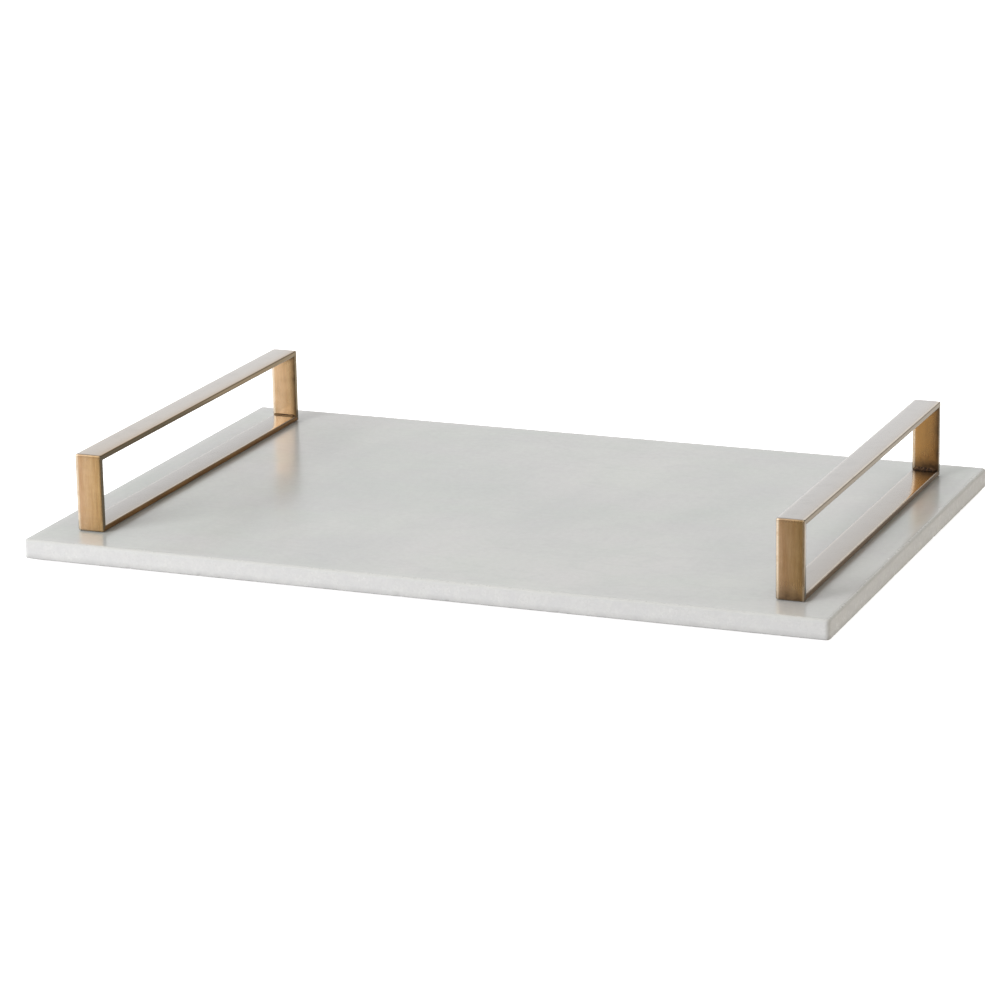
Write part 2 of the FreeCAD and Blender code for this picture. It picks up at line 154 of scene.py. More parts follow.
class Shader:
    """A material or world under construction. Inputs can be sockets or plain values."""

    def __init__(self, owner, output_kind):
        self.owner = owner
        owner.use_nodes = True
        self.tree = owner.node_tree
        self.tree.nodes.clear()
        self.output = self.tree.nodes.new(output_kind)

    def node(self, kind, inputs, **settings):
        """A new node with its inputs and settings filled in."""
        node = self.tree.nodes.new(kind)
        for name, value in settings.items():
            setattr(node, name, value)
        for key, value in inputs.items():
            self.feed(node.inputs[key], value)
        return node

    def feed(self, socket, value):
        """Link a socket to an input, or set the input to a plain value."""
        if isinstance(value, bpy.types.NodeSocket):
            self.tree.links.new(value, socket)
        else:
            socket.default_value = value

    def place(self):
        """Coordinates in metres, the same for every piece."""
        return self.node("ShaderNodeTexCoord", {}).outputs["Object"]

    def attribute(self, name, output="Fac"):
        """A value that the mesh's vertices carry."""
        return self.node("ShaderNodeAttribute", {}, attribute_name=name).outputs[output]

    def stretched(self, vector, scale, turn=0.0):
        """Coordinates scaled by axis and turned about Z by degrees; a scale below 1 draws a pattern out."""
        inputs = {"Vector": vector, "Scale": scale, "Rotation": (0.0, 0.0, math.radians(turn))}
        return self.node("ShaderNodeMapping", inputs).outputs["Vector"]

    def noise(self, vector, scale, detail=4.0, roughness=0.5, distortion=0.0, output="Fac"):
        """Smooth noise around 0.5, with about scale lumps to the metre."""
        inputs = {"Vector": vector, "Scale": scale, "Detail": detail, "Roughness": roughness,
                  "Distortion": distortion}
        return self.node("ShaderNodeTexNoise", inputs).outputs[output]

    def cells(self, vector, scale, output="Color"):
        """Crystal-like cells, each with a random colour of its own."""
        inputs = {"Vector": vector, "Scale": scale}
        return self.node("ShaderNodeTexVoronoi", inputs).outputs[output]

    def math(self, operation, first, second=0.0, clamp=False):
        """One arithmetic operation on two numbers."""
        node = self.node("ShaderNodeMath", {0: first, 1: second}, operation=operation)
        node.use_clamp = clamp
        return node.outputs[0]

    def times(self, first, second):
        """Product of two numbers."""
        return self.math("MULTIPLY", first, second)

    def vector(self, operation, inputs):
        """One arithmetic operation on vectors."""
        return self.node("ShaderNodeVectorMath", inputs, operation=operation).outputs[0]

    def remap(self, value, low, high, new_low=0.0, new_high=1.0):
        """A value from low to high turned into one from new_low to new_high, and held to that range."""
        inputs = {"Value": value, "From Min": low, "From Max": high, "To Min": new_low, "To Max": new_high}
        node = self.node("ShaderNodeMapRange", inputs)
        node.clamp = True
        return node.outputs["Result"]

    def blend(self, factor, first, second, mode="MIX"):
        """Blend of two colours."""
        node = self.node("ShaderNodeMix", {}, data_type="RGBA", blend_type=mode)
        self.feed(node.inputs[0], factor)
        self.feed(node.inputs[6], first)
        self.feed(node.inputs[7], second)
        return node.outputs[2]

    def mix(self, factor, first, second):
        """Blend of two numbers."""
        node = self.node("ShaderNodeMix", {}, data_type="FLOAT")
        self.feed(node.inputs[0], factor)
        self.feed(node.inputs[2], first)
        self.feed(node.inputs[3], second)
        return node.outputs[0]

    def bump(self, height, distance, strength=1.0, normal=None):
        """Surface direction over a relief of the given depth in metres."""
        inputs = {"Height": height, "Distance": distance, "Strength": strength}
        if normal is not None:
            inputs["Normal"] = normal
        return self.node("ShaderNodeBump", inputs).outputs["Normal"]

    def show(self, shader_socket):
        """Make a shader the surface of the material or world."""
        self.tree.links.new(shader_socket, self.output.inputs["Surface"])
        return self.owner

    def finish(self, inputs):
        """Close a material that is one principled surface."""
        return self.show(self.node("ShaderNodeBsdfPrincipled", inputs).outputs["BSDF"])


def new_material(name):
    """An empty material to build up."""
    return Shader(bpy.data.materials.new(name), "ShaderNodeOutputMaterial")


def grey(value):
    """A neutral colour."""
    return (value, value, value, 1.0)


# ---- materials ----

# A pair of colours holds the two tones that a material varies between.
POLISHED_STONE = ((0.442, 0.456, 0.446, 1.0), (0.512, 0.515, 0.502, 1.0))
STONE_VEIN = (0.44, 0.45, 0.44, 1.0)
STONE_TINTS = ((0.985, 1.0, 0.985, 1.0), (1.0, 0.985, 1.0, 1.0))
STONE_GRAIN = (grey(0.970), grey(1.02))
SAWN_STONE = ((0.655, 0.655, 0.652, 1.0), (0.715, 0.715, 0.712, 1.0))
SAWN_PATCH = (0.640, 0.640, 0.650, 1.0)
# Painted shade: a darker grey laid over the eased top arris to damp the highlight it catches.
EASED_EDGE_SHADE = (0.505, 0.505, 0.490, 1.0)
# Painted shade: a dark grey laid along the bottom arris, the lowest side rows and the underside.
STONE_UNDERSIDE_SHADE = (0.16, 0.155, 0.14, 1.0)


def marble_material():
    """Pale grey marble: cloudy and faintly streaked where it is polished, sugary where it is only sawn."""
    shader = new_material("white_marble")
    place = shader.place()
    drift = shader.noise(place, 9.0, 2.0, output="Color")
    warped = shader.vector("MULTIPLY_ADD", {0: drift, 1: (0.02, 0.02, 0.02), 2: place})
    clouds = shader.noise(shader.stretched(warped, (1.0, 0.55, 1.0), 24), 14.0, 4.0, 0.5)
    mottle = shader.noise(shader.stretched(warped, (1.0, 0.5, 1.0), 12), 45.0, 5.0, 0.6)
    veins = shader.noise(shader.stretched(warped, (1.0, 3.0, 3.0), 18), 12.0, 4.0, 0.55)
    vein = shader.remap(shader.math("ABSOLUTE", shader.math("SUBTRACT", veins, 0.5)), 0.0, 0.03, 1.0, 0.0)
    grain = shader.remap(shader.noise(place, 300.0, 4.0, 0.7), 0.35, 0.65)
    tone = shader.math("ADD", shader.times(clouds, 0.78), shader.times(mottle, 0.22))
    tone = shader.remap(tone, 0.34, 0.66)
    polished = shader.blend(tone, *POLISHED_STONE)
    polished = shader.blend(shader.times(vein, 0.25), polished, STONE_VEIN)
    tint = shader.remap(shader.noise(shader.stretched(warped, (1.0, 2.0, 2.0), 20), 16.0, 3.0), 0.35, 0.65)
    polished = shader.blend(1.0, polished, shader.blend(tint, *STONE_TINTS), "MULTIPLY")
    polished = shader.blend(1.0, polished, shader.blend(grain, *STONE_GRAIN), "MULTIPLY")

    crystal = shader.cells(place, 800.0)
    crystal_value = shader.node("ShaderNodeSeparateColor", {"Color": crystal}).outputs
    sugar = shader.blend(crystal_value["Red"], *SAWN_STONE)
    patches = shader.remap(shader.noise(place, 130.0, 4.0, 0.6), 0.35, 0.65)
    sugar = shader.blend(patches, shader.blend(0.7, sugar, SAWN_PATCH), sugar)
    sawn = shader.attribute("sawn")
    colour = shader.blend(sawn, polished, sugar)
    # Painted shade over the eased top arris, damping its highlight.
    eased = shader.remap(shader.math("ABSOLUTE", shader.math("SUBTRACT", sawn, 0.42)), 0.08, 0.42, 0.8, 0.0)
    colour = shader.blend(eased, colour, EASED_EDGE_SHADE)
    # Painted shade, broken up by the patches: darker towards the bottom arris and under the slab.
    underside_shade = shader.times(shader.attribute("underside_shade"), shader.remap(patches, 0.0, 1.0, 1.0, 0.7))
    colour = shader.blend(underside_shade, colour, STONE_UNDERSIDE_SHADE)

    gloss = shader.remap(shader.noise(place, 60.0, 4.0), 0.3, 0.7, 0.16, 0.24)
    sparkle = shader.remap(crystal_value["Green"], 0.86, 0.92, 0.62, 0.34)
    roughness = shader.mix(sawn, gloss, sparkle)
    ripple = shader.bump(shader.noise(place, 35.0, 2.0), 0.00006, 1.0)
    facets = shader.vector("SUBTRACT", {0: crystal, 1: (0.5, 0.5, 0.5)})
    tilted = shader.vector("SCALE", {0: facets, "Scale": shader.times(sawn, 0.09)})
    leaned = shader.vector("NORMALIZE", {0: shader.vector("ADD", {0: ripple, 1: tilted})})
    pits = shader.times(shader.noise(place, 1500.0, 3.0, 0.6), sawn)
    normal = shader.bump(pits, 0.00008, 0.5, leaned)
    return shader.finish({"Base Color": colour, "Roughness": roughness, "IOR": 1.5, "Normal": normal})


ROSY_BRASS = ((0.565, 0.335, 0.182, 1.0), (0.69, 0.465, 0.285, 1.0))
YELLOW_BRASS = ((0.53, 0.312, 0.118, 1.0), (0.67, 0.435, 0.190, 1.0))
# Painted reflection: brass tints for the far posts, which mirror brighter, warmer surroundings.
GOLDEN_REFLECTED_BRASS = ((0.52, 0.26, 0.070, 1.0), (0.66, 0.36, 0.12, 1.0))
PALE_REFLECTED_BRASS = ((0.74, 0.48, 0.27, 1.0), (0.86, 0.60, 0.36, 1.0))
BRUSH_LINE = (0.44, 0.25, 0.10, 1.0)
BROWN_PATINA = (0.50, 0.30, 0.11, 1.0)
# Dark brown for random stains, and for darkening at the bar ends that is partly painted shade.
DARK_STAIN_AND_SHADE = ((0.045, 0.024, 0.012, 1.0), (0.11, 0.062, 0.028, 1.0))
# Narrow sides: dark patina and painted shade.
DARK_SIDE_PATINA_AND_SHADE = (0.175, 0.125, 0.060, 1.0)
BROWN_SIDE_PATINA_AND_SHADE = ((0.21, 0.085, 0.008, 1.0), (0.44, 0.210, 0.040, 1.0))
# Wear and painted highlight: the pale colour of the arrises.
WEAR_AND_HIGHLIGHT_BRASS = (0.93, 0.79, 0.61, 1.0)
CLEAR_FILM = (grey(0.495), grey(0.555))
DULL_FILM = grey(0.40)
WARM_FILM = (1.0, 0.75, 0.5, 1.0)
# Wear and painted highlight in the lacquer film.
WEAR_AND_HIGHLIGHT_FILM = (0.90, 0.80, 0.66, 1.0)
YELLOW_SIDE = 6.0 * MM


def antique_brass_material():
    """Brushed, lacquered brass, darkened and brought back to bright metal in places: arrises pale with wear
    and painted highlight, narrow sides dark with patina and painted shade, some posts tinted as painted
    reflection.
    """
    shader = new_material("antique_brass")
    place = shader.place()
    brushed = shader.attribute("brush", "Vector")
    lines = shader.noise(shader.stretched(brushed, (1.0, 0.03, 1.0)), 2600.0, 4.0, 0.65)
    bands = shader.noise(shader.stretched(brushed, (1.0, 0.10, 1.0)), 420.0, 4.0, 0.55)
    blotches = shader.noise(place, 90.0, 5.0, 0.6)
    across = shader.node("ShaderNodeSeparateXYZ", {"Vector": brushed}).outputs["X"]
    marks_and_painted_light = {key: shader.attribute(key) for key in BAR_LAYERS}

    banded = shader.remap(bands, 0.32, 0.68)
    rosy = shader.blend(banded, *ROSY_BRASS)
    yellow = shader.blend(banded, *YELLOW_BRASS)
    brass = shader.blend(shader.remap(across, -YELLOW_SIDE, YELLOW_SIDE), rosy, yellow)
    # Painted reflection: the far right post tinted golden, the far left one paler, where they mirror brighter
    # surroundings.
    brass = shader.blend(marks_and_painted_light["golden"], brass, shader.blend(bands, *GOLDEN_REFLECTED_BRASS))
    brass = shader.blend(marks_and_painted_light["pale"], brass, shader.blend(bands, *PALE_REFLECTED_BRASS))
    brass = shader.blend(shader.remap(lines, 0.35, 0.7, 0.0, 0.28), brass, BRUSH_LINE)
    patches = shader.noise(shader.stretched(place, (1.0, 1.0, 1.6)), 170.0, 3.0, 0.5)
    brass = shader.blend(shader.remap(patches, 0.42, 0.68, 0.0, 0.22), brass, BROWN_PATINA)
    # Random stains, plus darkening towards the bar ends, partly painted shade: contact shadow at the posts'
    # feet, shade on the outer top corners.
    stain_and_shade = shader.math("ADD", shader.remap(blotches, 0.5, 0.75, 0.0, 0.14),
                        shader.times(marks_and_painted_light["corner"], shader.remap(blotches, 0.25, 0.6, 0.6, 1.2)),
                        clamp=True)
    brown = shader.blend(bands, *DARK_STAIN_AND_SHADE)
    aged = shader.blend(shader.times(stain_and_shade, 0.9), brass, brown)
    # Narrow sides darkened in the metal: part patina, part painted shade.
    base_side_patina_and_shade = shader.blend(shader.remap(bands, 0.35, 0.65), *BROWN_SIDE_PATINA_AND_SHADE)
    side_patina_and_shade = shader.blend(marks_and_painted_light["dull"], DARK_SIDE_PATINA_AND_SHADE, base_side_patina_and_shade)
    aged = shader.blend(shader.times(marks_and_painted_light["side"], 0.9), aged, side_patina_and_shade)
    # Wear and painted highlight on the arrises, and on the outer faces near the loop's corners.
    wear_and_highlight = shader.times(marks_and_painted_light["arris"],
                         shader.remap(shader.noise(place, 200.0, 4.0), 0.25, 0.50, 0.35, 1.0))
    colour = shader.blend(shader.times(wear_and_highlight, 0.85), aged, WEAR_AND_HIGHLIGHT_BRASS)

    roughness = shader.remap(lines, 0.25, 0.75, 0.20, 0.28)
    roughness = shader.math("ADD", roughness, shader.times(stain_and_shade, 0.12))
    height = shader.math("ADD", shader.times(lines, 0.6), shader.times(bands, 0.4))
    metal = shader.node("ShaderNodeBsdfPrincipled", {
        "Base Color": colour, "Metallic": 1.0, "Roughness": roughness,
        "Normal": shader.bump(height, 0.00002, 0.8),
        "Coat Weight": 0.6, "Coat Roughness": 0.12, "Coat IOR": 1.5,
    })

    # Lacquer over the brass: where the surface is seen at a low angle, it mirrors without the brass's colour.
    film = shader.blend(shader.remap(blotches, 0.35, 0.65), *CLEAR_FILM)
    film = shader.blend(shader.times(marks_and_painted_light["dull"], 0.75), film, DULL_FILM)
    film = shader.blend(marks_and_painted_light["warm"], film, WARM_FILM, "MULTIPLY")
    # Stains and painted shade darken the lacquer too.
    film = shader.blend(shader.times(stain_and_shade, 0.8), film, brown)
    # Narrow sides darkened in the lacquer too: patina and painted shade.
    film = shader.blend(marks_and_painted_light["side"], film, side_patina_and_shade)
    # Wear and painted highlight on the arrises, in the lacquer too.
    film = shader.blend(wear_and_highlight, film, WEAR_AND_HIGHLIGHT_FILM)
    glare = shader.node("ShaderNodeBsdfPrincipled", {
        "Base Color": film, "Metallic": 1.0, "Roughness": 0.17,
        "Normal": shader.bump(height, 0.000005, 0.8),
    })
    facing = shader.node("ShaderNodeLayerWeight", {"Blend": 0.5}).outputs["Facing"]
    share = shader.remap(facing, 0.22, 0.60, 0.0, 0.97)
    share = shader.times(share, shader.remap(marks_and_painted_light["rim"], 0.0, 1.0, 1.0, 0.40))
    mixed = shader.node("ShaderNodeMixShader", {0: share, 1: metal.outputs[0], 2: glare.outputs[0]})
    return shader.show(mixed.outputs[0])


OXIDISED_BRAZE = ((0.040, 0.022, 0.014, 1.0), (0.26, 0.15, 0.07, 1.0))
BARE_BRAZE = (0.55, 0.34, 0.15, 1.0)
TURNED_BRASS = ((0.66, 0.50, 0.24, 1.0), (0.42, 0.29, 0.12, 1.0))
ZINC_PLATE = ((0.62, 0.63, 0.65, 1.0), (0.36, 0.36, 0.37, 1.0))
RED_FIBRE = ((0.20, 0.055, 0.035, 1.0), (0.36, 0.15, 0.10, 1.0))
DUSTY_RUBBER = ((0.018, 0.018, 0.019, 1.0), (0.07, 0.068, 0.064, 1.0))


def braze_material():
    """Dark oxidised braze along the seam, thinning out over the bare metal beside it."""
    shader = new_material("dark_braze")
    place = shader.place()
    lumps = shader.noise(place, 900.0, 5.0, 0.65)
    dark = shader.blend(shader.remap(lumps, 0.45, 0.75), *OXIDISED_BRAZE)
    ragged = shader.math("ADD", shader.attribute("seam"), shader.remap(lumps, 0.3, 0.7, -0.25, 0.25))
    colour = shader.blend(shader.remap(ragged, 0.30, 0.60), BARE_BRAZE, dark)
    roughness = shader.remap(lumps, 0.3, 0.8, 0.60, 0.36)
    normal = shader.bump(lumps, 0.00025, 0.9)
    return shader.finish({"Base Color": colour, "Metallic": 0.75, "Roughness": roughness, "Normal": normal})


def turned_brass_material():
    """Plain turned brass, with fine rings from the lathe."""
    shader = new_material("plain_brass")
    place = shader.place()
    rings = shader.noise(shader.stretched(place, (0.05, 0.05, 1.0)), 5200.0, 3.0)
    dull = shader.noise(place, 400.0, 4.0)
    colour = shader.blend(shader.remap(dull, 0.35, 0.7), *TURNED_BRASS)
    roughness = shader.remap(rings, 0.3, 0.7, 0.25, 0.42)
    return shader.finish({"Base Color": colour, "Metallic": 1.0, "Roughness": roughness,
                          "Normal": shader.bump(rings, 0.00002, 0.7)})


def plated_steel_material():
    """Zinc-plated steel: a bright, slightly blue grey, mottled and dulled in places."""
    shader = new_material("plated_steel")
    place = shader.place()
    spangle = shader.cells(place, 1400.0, "Distance")
    dull = shader.noise(place, 500.0, 5.0, 0.6)
    colour = shader.blend(shader.remap(dull, 0.35, 0.7), *ZINC_PLATE)
    roughness = shader.remap(dull, 0.3, 0.7, 0.24, 0.46)
    return shader.finish({"Base Color": colour, "Metallic": 1.0, "Roughness": roughness,
                          "Normal": shader.bump(spangle, 0.00003, 0.5)})


def fibre_material():
    """Vulcanised fibre: matt red-brown sheet with pale short fibres."""
    shader = new_material("vulcanised_fibre")
    place = shader.place()
    fibres = shader.noise(shader.stretched(place, (1.0, 0.25, 1.0), 30), 4200.0, 5.0, 0.7, 1.0)
    colour = shader.blend(shader.remap(fibres, 0.35, 0.75), *RED_FIBRE)
    return shader.finish({"Base Color": colour, "Roughness": shader.remap(fibres, 0.3, 0.7, 0.75, 0.95),
                          "Normal": shader.bump(fibres, 0.00004, 0.8)})


def rubber_material():
    """Soft dark rubber with a fine moulded grain and a little dust."""
    shader = new_material("soft_rubber")
    place = shader.place()
    grain = shader.noise(place, 2600.0, 4.0, 0.65)
    dust = shader.noise(place, 220.0, 5.0, 0.65)
    colour = shader.blend(shader.remap(dust, 0.45, 0.8), *DUSTY_RUBBER)
    return shader.finish({"Base Color": colour, "Roughness": shader.remap(grain, 0.3, 0.7, 0.62, 0.86),
                          "Normal": shader.bump(grain, 0.00005, 0.8)})


# ---- marble slab ----

SLAB_CORNER = 2.5 * MM
TOP_EASE = 1.6 * MM
BOTTOM_EASE = 0.6 * MM
RING_SPACING = 0.9 * MM
FLAT_INSETS = (3.5 * MM, 7.0 * MM)
BORE_RADIUS = 3.75 * MM
COUNTERBORE_RADIUS = 6.0 * MM
COUNTERBORE_DEPTH = 5.0 * MM
MOUTH_CHAMFER = 0.35 * MM
SAW_WAVE = 0.10 * MM
CHIP_COUNT = 46
CHIPS_PER_UPPER_ONE = 9
UPPER_CHIP_SHARE = 0.6
LEAST_CORNER = 0.3 * MM
EASE_STEPS = 6
SIDE_STEPS = 9
UNDER_STEPS = 4


class SlabOutline:
    """Rounded rectangle that can be drawn at any inset, always with the same number of points."""

    corner_steps = 8

    def __init__(self, low, high):
        self.middle = (low + high) / 2
        self.half = (high - low) / 2
        straights = (2 * (self.half.x - SLAB_CORNER), 2 * (self.half.y - SLAB_CORNER))
        self.counts = [max(2, round(length / RING_SPACING)) for length in straights]

    def ring(self, inset, z):
        """Points and outward directions of the outline, counter-clockwise."""
        radius = max(SLAB_CORNER - inset, LEAST_CORNER)
        half_x = self.half.x - inset - radius
        half_y = self.half.y - inset - radius
        centres = ((half_x, half_y), (-half_x, half_y), (-half_x, -half_y), (half_x, -half_y))
        corners = []
        for quarter, (x, y) in enumerate(centres):
            arc = []
            for step in range(self.corner_steps + 1):
                angle = math.pi / 2 * (quarter + step / self.corner_steps)
                out = Vector((math.cos(angle), math.sin(angle), 0))
                arc.append((Vector((x, y, 0)) + radius * out, out))
            corners.append(arc)
        points = []
        for quarter, arc in enumerate(corners):
            points += arc
            start, out = arc[-1]
            stop = corners[(quarter + 1) % 4][0][0]
            count = self.counts[quarter % 2]
            points += [(start.lerp(stop, k / count), out) for k in range(1, count)]
        shift = Vector((self.middle.x, self.middle.y, z))
        return [(point + shift, out) for point, out in points]


def slab_profile(bottom, top):
    """(inset, height, how sawn, how much painted shade) from the polished top, over the edge, to the
    underside.
    """
    rows = [(FLAT_INSETS[1], top, 0.0, 0.0), (FLAT_INSETS[0], top, 0.08, 0.0)]
    for step, (sine, cosine) in enumerate(quarter_turn(EASE_STEPS)):
        sawn = 0.15 + 0.7 * step / EASE_STEPS
        rows.append((TOP_EASE * (1 - sine), top - TOP_EASE * (1 - cosine), sawn, 0.0))
    # The lowest side rows carry a little painted shade, darker towards the bottom.
    for step in range(1, SIDE_STEPS):
        height = top - TOP_EASE - step / SIDE_STEPS * (top - bottom - TOP_EASE - BOTTOM_EASE)
        rows.append((0.0, height, 1.0, 0.08 * max(0, step - 6)))
    # Painted shade over the bottom arris and the underside.
    for step, (sine, cosine) in enumerate(quarter_turn(UNDER_STEPS)):
        underside_shade = 0.22 + 0.6 * step / UNDER_STEPS
        rows.append((BOTTOM_EASE * (1 - cosine), bottom + BOTTOM_EASE * (1 - sine), 1.0, underside_shade))
    rows += [(FLAT_INSETS[0], bottom, 1.0, 0.5), (FLAT_INSETS[1], bottom, 1.0, 0.1)]
    return rows


def chip_list(outline, bottom, top):
    """Small chips along the lower arris, and a few along the upper one."""
    draw = random.Random(11)
    ring = outline.ring(0.0, 0.0)
    chips = []
    for index in range(CHIP_COUNT):
        point, _ = ring[draw.randrange(len(ring))]
        at_top = index % CHIPS_PER_UPPER_ONE == 0
        share = UPPER_CHIP_SHARE if at_top else 1.0
        reach = draw.uniform(0.8, 2.6) * MM * share
        depth = draw.uniform(0.15, 0.55) * MM * share
        chips.append((Vector((point.x, point.y, top if at_top else bottom)), reach, depth))
    return chips


def edge_shift(point, out, chips, sawn):
    """How far an edge vertex lies inside the ideal face: saw waves everywhere, and chips near the arrises."""
    wave = 0.5 + 0.5 * rough(point, 9 * MM, 3.1)
    ripple = 0.5 + 0.5 * rough(point, 1.6 * MM, 7.7)
    inward = SAW_WAVE * sawn * (0.6 * wave + 0.4 * ripple)
    for centre, reach, depth in chips:
        gap = (point - centre).length
        if gap < reach:
            jagged = 1 + 0.5 * rough(point, 0.7 * MM, 1.3)
            inward = max(inward, depth * (1 - (gap / reach) ** 2) * jagged)
    return -out * inward


def circle(bm, centre, radius, z, count=48):
    """Vertices round a level circle."""
    angles = [2 * math.pi * k / count for k in range(count)]
    return [bm.verts.new((centre.x + radius * math.cos(a), centre.y + radius * math.sin(a), z))
            for a in angles]


def loop_edges(bm, loop):
    """The edges of a closed loop of vertices, made where they are missing."""
    edges = []
    for first, second in zip(loop, loop[1:] + loop[:1]):
        edges.append(bm.edges.get((first, second)) or bm.edges.new((first, second)))
    return edges


def slab_skin(bm, bottom, top, outline, sawn_layer, underside_shade_layer):
    """Rings of vertices over the slab's edge, joined by faces: the first is on the top, the last below."""
    chips = chip_list(outline, bottom, top)
    rows = []
    for inset, z, sawn, underside_shade in slab_profile(bottom, top):
        near_edge = inset < FLAT_INSETS[0]
        row = []
        for point, out in outline.ring(inset, z):
            shift = edge_shift(point, out, chips, sawn) if near_edge else Vector((0, 0, 0))
            vertex = bm.verts.new(point + shift)
            vertex[sawn_layer] = sawn
            vertex[underside_shade_layer] = underside_shade
            row.append(vertex)
        rows.append(row)
    add_grid(bm, rows, close_rows=True)
    return rows


def slab_bore(bm, centre, bottom, top, sawn_layer):
    """Wall of one hole from the slab's top down to the mouth of its counterbore."""
    step = bottom + COUNTERBORE_DEPTH
    loops = [
        circle(bm, centre, BORE_RADIUS, top),
        circle(bm, centre, BORE_RADIUS, step),
        circle(bm, centre, COUNTERBORE_RADIUS, step),
        circle(bm, centre, COUNTERBORE_RADIUS, bottom + MOUTH_CHAMFER),
        circle(bm, centre, COUNTERBORE_RADIUS + MOUTH_CHAMFER, bottom),
    ]
    for loop in loops[1:]:
        for vertex in loop:
            vertex[sawn_layer] = 1.0
    add_grid(bm, loops, close_rows=True)
    return loops


def make_slab(material):
    """Marble slab with eased, chipped edges and a stepped hole for each boss and its screw."""
    low, high = node_box("marble_slab")
    bottom, top = low.z, high.z
    bm = bmesh.new()
    sawn_layer = bm.verts.layers.float.new("sawn")
    underside_shade_layer = bm.verts.layers.float.new("underside_shade")
    rows = slab_skin(bm, bottom, top, SlabOutline(low, high), sawn_layer, underside_shade_layer)
    top_edges = loop_edges(bm, rows[0])
    bottom_edges = loop_edges(bm, rows[-1])
    for side in SIDES:
        for end in ENDS:
            loops = slab_bore(bm, middle_of(f"{side}_{end}_boss"), bottom, top, sawn_layer)
            top_edges += loop_edges(bm, loops[0])
            bottom_edges += loop_edges(bm, loops[-1])
    bmesh.ops.triangle_fill(bm, edges=top_edges, use_beauty=True)
    bmesh.ops.triangle_fill(bm, edges=bottom_edges, use_beauty=True)
    piece = shown_piece("marble_top_slab", ["marble_slab"], material, bm)
    keep_crisp(piece, 50)


# ---- handles ----

# Shape of the flat bar: its arrises, the crown of its broad faces and the spacing of its sections.
BAR_THICKNESS = 3.5 * MM
CORNER_ROUND = 1.0 * MM
LEFT_ARRIS = 1.1 * MM
RIGHT_ARRIS = 0.6 * MM
ARRIS_DEPTH = 0.7 * MM
CRISP_ARRIS = 0.35 * MM
ARRIS_WEAR = 0.03 * MM
OUTER_CROWN = 0.13 * MM
INNER_CROWN = 0.17 * MM
HAMMER_MARK = 0.006 * MM
BAR_STATION = 1.6 * MM
END_STATION = 0.4 * MM
END_STRETCH = 9.0 * MM
# Darkening in the loop's corners, along some edges and over the stone: painted shade at the outer top
# corners, a painted contact shadow at the posts' feet, elsewhere darker towards the corners and edges.
UPPER_DARKENING = 1.0
LOWER_DARKENING = {"left": 0.10, "right": 1.0}
OUTER_DARKENING = {"left": 0.06, "right": 0.75}
EDGE_DARKENING = 0.78
EDGE_REACH = 2.3 * MM
# Painted shade on the outer top corners, damping their highlight.
OUTER_CORNER_SHADE = 0.35
UPPER_REACH = 3.5 * MM
OUTER_CORNER_REACH = 1.3 * MM
LOWER_REACH = {"left": 3.5 * MM, "right": 7.0 * MM}
# How bright each bar's +X arrises are lit by wear and painted highlight, and how far its lacquer is dulled
# and warmed.
ARRIS_WEAR_AND_HIGHLIGHT = {
    "left_top_bar": 0.10, "left_base_bar": 0.45, "left_front_post": 0.15, "left_rear_post": 0.0,
    "right_top_bar": 0.65, "right_base_bar": 0.60, "right_front_post": 0.65, "right_rear_post": 0.10,
}
# The far arrises and the outer corner ends get a little wear and painted highlight too.
FAR_ARRIS = 0.06
END_WEAR_AND_HIGHLIGHT = 0.2
# Painted contact shadow: a thin dark line at the foot of each post's outer face.
FOOT_CONTACT_SHADOW = 0.8
FOOT_CONTACT_SHADOW_REACH = 0.5 * MM
DULLED = {"left_base_bar": 1.0, "right_base_bar": 0.64}
WARMTH = {"left_top_bar": 0.16, "left_base_bar": 0.12, "right_top_bar": 0.10, "right_base_bar": 0.19}
FRONT_WARMTH = {"left_top_bar": 0.28}
RIM = {"left_top_bar": 1.0}
FAINT_RIM = 0.4
WARMTH_REACH = 100.0 * MM
# The far right post painted more golden and the far left one paler towards its -X edge: painted reflection of
# the surroundings they mirror.
GOLDEN_REFLECTION = {"right_rear_post": 1.0}
PALE_REFLECTION = {"left_rear_post": 1.1}
BAR_LAYERS = ("arris", "corner", "side", "rim", "dull", "warm", "golden", "pale")
WEAR_AND_HIGHLIGHT_REACH = 0.5 * MM
RIM_REACH = 3.2 * MM
LOOP_MIDDLE = middle_of("left_handle_front_post").z


def bar_stations(length):
    """Places along a bar from -1 to 1, close together near its mitred ends."""
    half = length / 2
    places = []
    distance = 0.0
    while distance < half:
        places.append(distance)
        distance += END_STATION if distance < END_STRETCH else BAR_STATION
    shares = [-(1 - d / half) for d in places] + [0.0]
    return shares + [-share for share in reversed(shares[:-1])]


